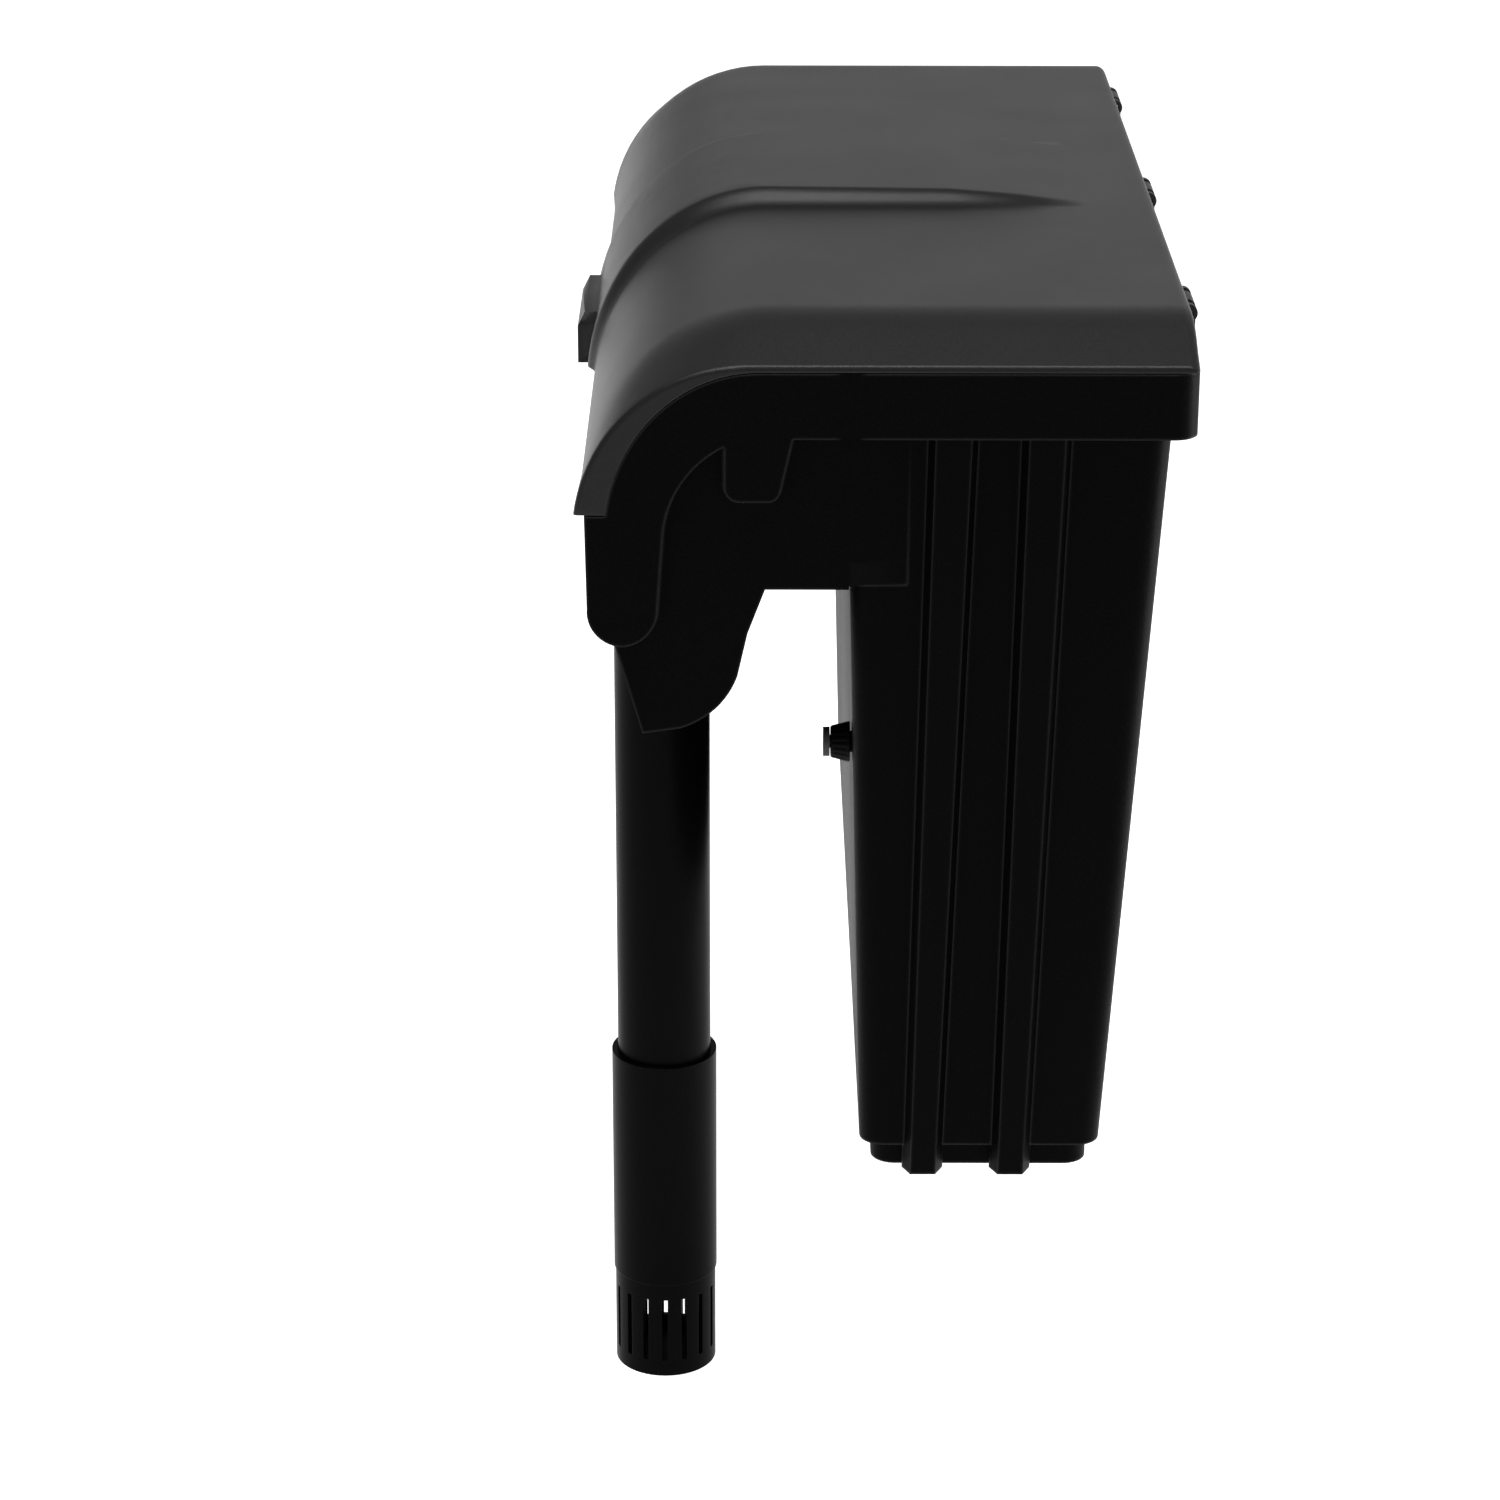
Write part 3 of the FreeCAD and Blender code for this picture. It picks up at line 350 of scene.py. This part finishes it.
# %% Cloth, metal, rubber and ceramic
def fibrous(name, colour, shadow, per_metre, depth, rough, sheen):
    """A mat of fibres: two noises, each drawn out along its own direction."""
    f = Finish(name, Sheen_Weight=sheen, Specular_IOR_Level=0.3)
    lengthwise = f.noise(1.0, 4.0, f.stretched(per_metre, per_metre * 0.18, per_metre))
    crosswise = f.noise(1.0, 4.0, f.stretched(per_metre * 0.9, per_metre, per_metre * 0.16))
    clumps = f.noise(per_metre * 0.045, 3.0)
    fibre = 0.5 * lengthwise + 0.5 * crosswise
    lofty = f.mix(f.between(fibre, 0.38, 0.62), shadow, colour)
    f.set("Base Color", f.mix(f.between(clumps, 0.4, 0.75) * 0.35, lofty, shadow))
    f.set("Roughness", rough + 0.12 * fibre - 0.06)
    f.bump(fibre + 0.8 * clumps, depth)
    return f.material


def metal(name, colour, rough, stretch, edge_radius=0.0002):
    """Metal with fine drawn lines along the axis that is stretched least."""
    f = Finish(name, Metallic=1.0)
    lines = f.noise(1.0, 3.0, f.stretched(*stretch))
    stain = f.noise(60.0, 3.0)
    dark = tuple(c * 0.7 for c in colour[:3]) + (1.0,)
    f.set("Base Color", f.mix(f.between(stain, 0.35, 0.75), colour, dark))
    f.set("Roughness", rough + 0.16 * lines + 0.1 * stain - 0.13)
    f.bump(lines, 0.000012, edge_radius)
    return f.material


def laminated(name, colour, sheet):
    """Stamped sheets stacked upwards: a dark line between each pair, and a little rust of tone."""
    f = Finish(name, Metallic=0.85)
    height = f.axis("Z")
    groove = f.between(f.node("ShaderNodeMath", {"operation": "PINGPONG"}, {0: height, 1: sheet / 2}),
                       0.0, sheet * 0.16)
    stain = f.noise(180.0, 4.0)
    plate = f.mix(f.between(stain, 0.35, 0.7), colour, tuple(c * 0.55 for c in colour[:3]) + (1.0,))
    f.set("Base Color", f.mix(groove, grey(0.02), plate))
    f.set("Roughness", 0.62 - 0.2 * groove + 0.14 * stain)
    f.bump(groove, 0.00008, 0.0001)
    return f.material


def plain_solid(name, colour, rough, grains, depth, edge_radius, bloom=0.25, **fixed):
    """A dense material whose tone and gloss drift a little: rubber, ceramic or magnet."""
    f = Finish(name, **fixed)
    speck = f.noise(grains, 3.0)
    drift = f.noise(45.0, 2.0)
    pale = tuple(min(1.0, c * (1 + bloom) + 0.004 * bloom) for c in colour[:3]) + (1.0,)
    f.set("Base Color", f.mix(f.between(0.6 * speck + 0.4 * drift, 0.38, 0.66), colour, pale))
    f.set("Roughness", rough + 0.12 * drift + 0.06 * speck - 0.09)
    f.bump(speck, depth, edge_radius)
    return f.material


def wound(name, colour, shadow, wires_per_metre):
    """Enamelled wire laid side by side along Y, with the enamel's clear gloss over it."""
    f = Finish(name, Metallic=0.9, Coat_Roughness=0.2)
    along = f.axis("Y")
    strand = f.node("ShaderNodeMath", {"operation": "PINGPONG"}, {0: along * wires_per_metre, 1: 0.5}) * 2
    fleck = f.noise(260.0, 3.0)
    f.set("Base Color", f.mix(f.between(strand, 0.05, 0.5), shadow, colour))
    f.set("Roughness", 0.28 + 0.18 * fleck)
    f.set("Coat Weight", 0.5 + 0.3 * fleck)
    f.bump(strand, 0.0001, 0.0002)
    return f.material


FINISHES = {
    "case_plastic": case_plastic, "lid_plastic": lid_plastic, "intake_plastic": intake_plastic,
    "pump_case_plastic": pump_case_plastic, "pump_plastic": pump_plastic,
    "wheel_plastic": wheel_plastic, "knob_plastic": knob_plastic,
    "basket_plastic": basket_plastic, "cartridge_plastic": cartridge_plastic,
    "media_fabric": fibrous("media_fabric", (0.50, 0.58, 0.62, 1), (0.24, 0.31, 0.35, 1),
                            2600.0, 0.00035, 0.82, 0.25),
    "floss": fibrous("floss", (0.80, 0.83, 0.84, 1), (0.50, 0.55, 0.57, 1),
                     1900.0, 0.0009, 0.9, 0.35),
    "steel": metal("steel", (0.58, 0.58, 0.60, 1), 0.30, (900.0, 60.0, 900.0)),
    "lamination_steel": laminated("lamination_steel", (0.30, 0.30, 0.31, 1), 0.0005),
    "copper": wound("copper", (0.62, 0.27, 0.12, 1), (0.14, 0.05, 0.02, 1), 1800.0),
    "seal_rubber": plain_solid("seal_rubber", (0.014, 0.014, 0.014, 1), 0.72, 1400.0, 0.00006, 0.0004,
                               bloom=0.8),
    "ceramic_shaft": plain_solid("ceramic_shaft", (0.82, 0.80, 0.76, 1), 0.18, 700.0, 0.000006, 0.0002,
                                 bloom=0.06, Coat_Weight=0.6, Coat_Roughness=0.08),
    "magnet": plain_solid("magnet", (0.045, 0.045, 0.05, 1), 0.52, 2600.0, 0.00004, 0.0003, bloom=0.5),
}
for part in frame["record"]["subparts"]:
    slots = frame["nodes"][part["node"]].data.materials
    slots.clear()
    slots.append(FINISHES[part["material_slot"]])

# %% [markdown]
# ## Surfaces from numbers
# A new piece is a stack of closed loops. Every loop has the same number of points, and each
# point is joined to its neighbours round the loop and to its partner on the next loop. A piece
# that ends is capped; a piece that closes on itself, like a ring, is joined from last to first.

# %% Loops to a mesh
def lofted(name, loops, slot, body, replaces=(), ring=False, smooth_angle=35.0):
    """Joins a stack of closed loops, an array (loop, point, xyz) in metres, into a closed piece."""
    rows, cols = loops.shape[:2]
    last = rows if ring else rows - 1
    r, c = np.meshgrid(np.arange(last), np.arange(cols), indexing="ij")
    r2, c2 = (r + 1) % rows, (c + 1) % cols
    quads = np.stack([r * cols + c, r * cols + c2, r2 * cols + c2, r2 * cols + c], -1).reshape(-1, 4)
    faces = quads.tolist()
    if not ring:
        faces.append(list(range(cols))[::-1])
        faces.append(list(range((rows - 1) * cols, rows * cols)))
    mesh = bpy.data.meshes.new(name)
    mesh.from_pydata(loops.reshape(-1, 3).tolist(), [], faces)
    shape = bmesh.new()
    shape.from_mesh(mesh)
    bmesh.ops.remove_doubles(shape, verts=shape.verts, dist=1e-7)
    bmesh.ops.recalc_face_normals(shape, faces=shape.faces)
    if shape.calc_volume(signed=True) < 0:
        bmesh.ops.reverse_faces(shape, faces=shape.faces)
    open_edges = sum(not e.is_manifold for e in shape.edges)
    shape.to_mesh(mesh)
    shape.free()
    mesh.polygons.foreach_set("use_smooth", np.ones(len(mesh.polygons), bool))
    mesh.set_sharp_from_angle(angle=math.radians(smooth_angle))
    mesh.materials.append(FINISHES[slot])
    piece = bpy.data.objects.new(name, mesh)
    bpy.context.scene.collection.objects.link(piece)
    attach(piece, body)
    if replaces:
        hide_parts(*replaces)
    print(f"{name}: {len(mesh.polygons)} faces, {open_edges} open edges")
    return piece


def turned(profile, around, axis_at, along, ripple=None):
    """Loops of a turned part. profile is rows of (distance along, radius); ripple adds to the
    radius from the same distances and the angle."""
    angle = np.arange(around) * TURN / around
    s, radius = np.array(profile).T
    s, radius, angle = s[:, None], radius[:, None], angle[None, :]
    radius = radius + (ripple(s, radius, angle) if ripple else 0)
    wide = (radius * np.cos(angle), radius * np.sin(angle))
    place = [np.broadcast_to(axis_at[0], radius.shape)] * 3
    others = [k for k in range(3) if k != along]
    place[along] = np.broadcast_to(s, radius.shape)
    for k, w in zip(others, wide):
        place[k] = axis_at[k] + w
    return np.stack(place, -1)


# %% [markdown]
# ## The blended lid
# The lid's sweep is drawn as narrow strips. A finished copy of it has its strips joined, so that
# light runs over them without a break. Wide faces count for more than slivers where they meet,
# which keeps the flats flat. The copy stands in the same place as the part it replaces.

# %% The lid without facets
def blended(node, slot, body, flat_angle=24.0):
    """The same solid with its facets joined: faces that meet at less than flat_angle degrees are
    shaded as one surface."""
    mesh = frame["nodes"][node].data.copy()
    shape = bmesh.new()
    shape.from_mesh(mesh)
    bmesh.ops.remove_doubles(shape, verts=shape.verts, dist=2e-6)
    open_edges = sum(not e.is_manifold for e in shape.edges)
    shape.to_mesh(mesh)
    shape.free()
    mesh.polygons.foreach_set("use_smooth", np.ones(len(mesh.polygons), bool))
    mesh.set_sharp_from_angle(angle=math.radians(flat_angle))
    mesh.materials.clear()
    mesh.materials.append(FINISHES[slot])
    piece = bpy.data.objects.new(node + "_finished", mesh)
    bpy.context.scene.collection.objects.link(piece)
    weighted = piece.modifiers.new("weighted", "WEIGHTED_NORMAL")
    weighted.mode, weighted.keep_sharp = "FACE_AREA_WITH_ANGLE", True
    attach(piece, body)
    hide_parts(node)
    print(f"{node}: {len(mesh.polygons)} faces, {open_edges} open edges")
    return piece


blended("lid", "lid_plastic", "lid")

# %% [markdown]
# ## Wheel media
# The cloth is folded into thirty pleats that stand out from the drum. A pleat's crest is rounded
# where the cloth turns over, and its valley is pinched. Along the wheel each fold wanders a
# little, since the cloth is only held at its ends.

# %% Pleated cloth
PLEATS = 30
PLEAT_FOOT = 26.05 * MM
PLEAT_VALLEY = 27.2 * MM
END_GAP = 0.3 * MM
CREST_GAP = 0.4 * MM


def pleated_media(side):
    """Radius = valley + height times a rounded sawtooth of the angle, whose phase wanders along Y."""
    node = "wheel_media_" + side
    low, high = (np.array(v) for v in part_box(node))
    core = centre("wheel_core_" + side)
    crest = (high[0] - low[0]) / 2 - CREST_GAP
    around, rows = PLEATS * 20, 46
    y = np.linspace(low[1] + END_GAP, high[1] - END_GAP, rows)
    angle = np.arange(around) * TURN / around
    held = np.sin(np.pi * np.linspace(0, 1, rows))[:, None]
    wander = held * (0.10 * np.sin(31 * y[:, None] + 2.1 * np.sin(3 * angle)) + 0.07 * np.sin(
        83 * y[:, None] + 5 * angle))
    wave = 0.5 + 0.5 * np.cos(PLEATS * angle[None, :] + wander * 2.2)
    droop = 1 - 0.10 * held * (0.5 + 0.5 * np.sin(7 * angle[None, :] + 57 * y[:, None]))
    outer = PLEAT_VALLEY + (crest - PLEAT_VALLEY) * wave ** 0.72 * droop
    radius = np.concatenate([outer, np.full((rows, around), PLEAT_FOOT)])
    along = np.concatenate([y, y[::-1]])
    loops = np.stack([core[0] + radius * np.cos(angle), np.broadcast_to(along[:, None], radius.shape),
                      core[2] + radius * np.sin(angle)], -1)
    return lofted("pleats_" + side, loops, "media_fabric", "bio_wheel_" + side, (node,), ring=True,
                  smooth_angle=60)


for side in ("near", "far"):
    pleated_media(side)

# %% [markdown]
# ## Floss pads
# A pad of needled floss fills each cartridge. It is crowned in the middle and thins towards its
# welded border, it sinks where the frame's two bars press on it, and its surface is lumpy.

# %% Floss
def floss_pad(side):
    """Half thickness = border + crown over the pad, less two grooves, plus soft lumps."""
    node = "floss_pad_" + side
    low, high = (np.array(v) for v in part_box(node))
    low, high = low + END_GAP, high - END_GAP
    rows, cols = 90, 60
    u = np.sin(np.linspace(-1, 1, rows) * np.pi / 2)[:, None]
    v = np.sin(np.linspace(-1, 1, cols) * np.pi / 2)[None, :]
    crown = ((1 - np.abs(u) ** 6) * (1 - np.abs(v) ** 6)).clip(0) ** 0.5
    grooves = sum(0.30 * np.exp(-((u - bar) / 0.035) ** 2) for bar in (1 / 3, -1 / 3))
    lumps = 0.10 * np.sin(17 * u + 3 * np.sin(5 * v)) * np.sin(11 * v + 2 * np.sin(9 * u))
    lumps = lumps + 0.05 * np.sin(41 * u + 6 * v) * np.sin(37 * v - 5 * u)
    half = (high[0] - low[0]) / 2 * (crown * (0.86 - grooves + lumps)).clip(0.0, 1.0)
    mid = (high + low) / 2
    span = (high - low) / 2
    z = np.broadcast_to(mid[2] + span[2] * u, half.shape)
    y = np.broadcast_to(mid[1] + span[1] * v, half.shape)
    front = np.stack([mid[0] - half, y, z], -1)
    back = np.stack([mid[0] + half, y, z], -1)
    loops = np.concatenate([front, back[:, ::-1][:, 1:-1]], 1)
    piece = lofted("floss_" + side, loops, "floss", "case", (node,), smooth_angle=80)
    return piece


for side in ("near", "far"):
    floss_pad(side)

# %% [markdown]
# ## Winding
# The coil goes round one limb of the stator. Each turn of wire stands out as a small ridge, and
# the corners are rounded because wire won't bend square.

# %% Winding
LIMB_WIDTH = 4.0 * MM
LIMB_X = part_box("stator")[1][0] - LIMB_WIDTH / 2
LIMB_GAP = 0.6 * MM
RIDGE = 0.3 * MM
WIRE_MARGIN = 0.4 * MM
CORNER_POWER = 9


def half_size(low, high):
    """Half the width in X and half the height in Z of a box."""
    return np.array([high[0] - low[0], high[2] - low[2]]) / 2


def winding(turns=38, around=64):
    """A ring: the outside is a rounded rectangle in XZ with a ridge for each turn along Y."""
    low, high = (np.array(v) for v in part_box("coil"))
    limb_low, limb_high = (np.array(v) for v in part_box("stator"))
    y = np.linspace(low[1], high[1], turns * 6 + 1)
    phase = (y - low[1]) / (high[1] - low[1]) * turns
    ridge = np.abs(np.sin(np.pi * phase)) * RIDGE
    angle = (np.arange(around) + 0.5) * TURN / around
    flat = np.abs(np.cos(angle)) ** CORNER_POWER + np.abs(np.sin(angle)) ** CORNER_POWER
    unit = np.stack([np.cos(angle), np.sin(angle)], -1) * (1 / flat ** (1 / CORNER_POWER))[:, None]
    middle = np.array([high[0] + low[0], high[2] + low[2]]) / 2
    limb = np.array([LIMB_X, (limb_high[2] + limb_low[2]) / 2])
    limb_half = np.array([LIMB_WIDTH / 2, half_size(limb_low, limb_high)[1]])
    outside = middle + unit * (half_size(low, high) - WIRE_MARGIN)
    inside = limb + unit * (limb_half + LIMB_GAP)
    out_rows = outside[None] + unit[None] * ridge[:, None, None]
    in_rows = np.broadcast_to(inside[None], out_rows.shape)
    section = np.concatenate([out_rows, in_rows])
    along = np.broadcast_to(np.concatenate([y, y[::-1]])[:, None], section.shape[:2])
    loops = np.stack([section[..., 0], along, section[..., 1]], -1)
    return lofted("winding", loops, "copper", "case", ("coil",), ring=True)


winding()

# %% [markdown]
# ## Levelling screws
# Each screw has a tapered knob with shallow finger flutes, and a threaded shank. The thread is a
# ridge that goes once round for every three millimetres along.

# %% Levelling screws
PITCH = 3.0 * MM
KNOB_TIP, KNOB_BASE = 10.5 * MM, 17.65 * MM
TIP_R, BASE_R, SHANK_R = 5.85 * MM, 7.65 * MM, 4.0 * MM
BORE_R, BORE_DEPTH = 2.58 * MM, 4.3 * MM
AXIS_R = 0.02 * MM                 # a cap's centre, so small that it reads as a point
FLUTE_DEPTH, FLUTES = 0.35 * MM, 18
THREAD_DEPTH = 0.55 * MM
PLAIN = 0.8 * MM                   # no flute or thread this close to an end


def knob_ripple(s, radius, angle):
    """Flutes on the knob's side, and a thread on the shank."""
    on_knob = (s > KNOB_TIP + PLAIN) & (s < KNOB_BASE - PLAIN) & (radius > TIP_R - 0.5 * MM)
    on_shank = (s > KNOB_BASE + PLAIN) & (radius > SHANK_R - 0.2 * MM)
    flute = -FLUTE_DEPTH * (0.5 + 0.5 * np.cos(FLUTES * angle)) ** 2
    thread = -THREAD_DEPTH * (0.5 + 0.5 * np.cos(TURN * s / PITCH - angle))
    return np.where(on_knob, flute, 0) + np.where(on_shank, thread, 0)


def level_screw(side):
    """Turned about X: bore for the pad's stem, knob, neck and threaded shank."""
    node = "level_screw_" + side
    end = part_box(node)[1][0]
    taper = (BASE_R - TIP_R) / (KNOB_BASE - KNOB_TIP)
    knob = [(s, TIP_R + taper * (s - KNOB_TIP)) for s in np.linspace(KNOB_TIP, KNOB_BASE, 14)]
    knob[0], knob[-1] = (KNOB_TIP, TIP_R - 0.4 * MM), (KNOB_BASE, BASE_R - 0.4 * MM)
    knob.insert(1, (KNOB_TIP + 0.3 * MM, TIP_R - 0.05 * MM))
    knob.insert(-1, (KNOB_BASE - 0.3 * MM, BASE_R - 0.05 * MM))
    shaft = [(s, SHANK_R) for s in np.arange(KNOB_BASE, end - 0.6 * MM, PITCH / 12)]
    bore_end = KNOB_TIP + BORE_DEPTH
    profile = [(bore_end, AXIS_R), (bore_end, BORE_R), (KNOB_TIP, BORE_R)] + knob + shaft
    profile += [(end, SHANK_R - 0.9 * MM), (end, AXIS_R)]
    loops = turned(profile, 108, centre(node), 0, knob_ripple)
    return lofted("screw_" + side, loops, "knob_plastic", node, (node,))


for side in ("near", "far"):
    level_screw(side)
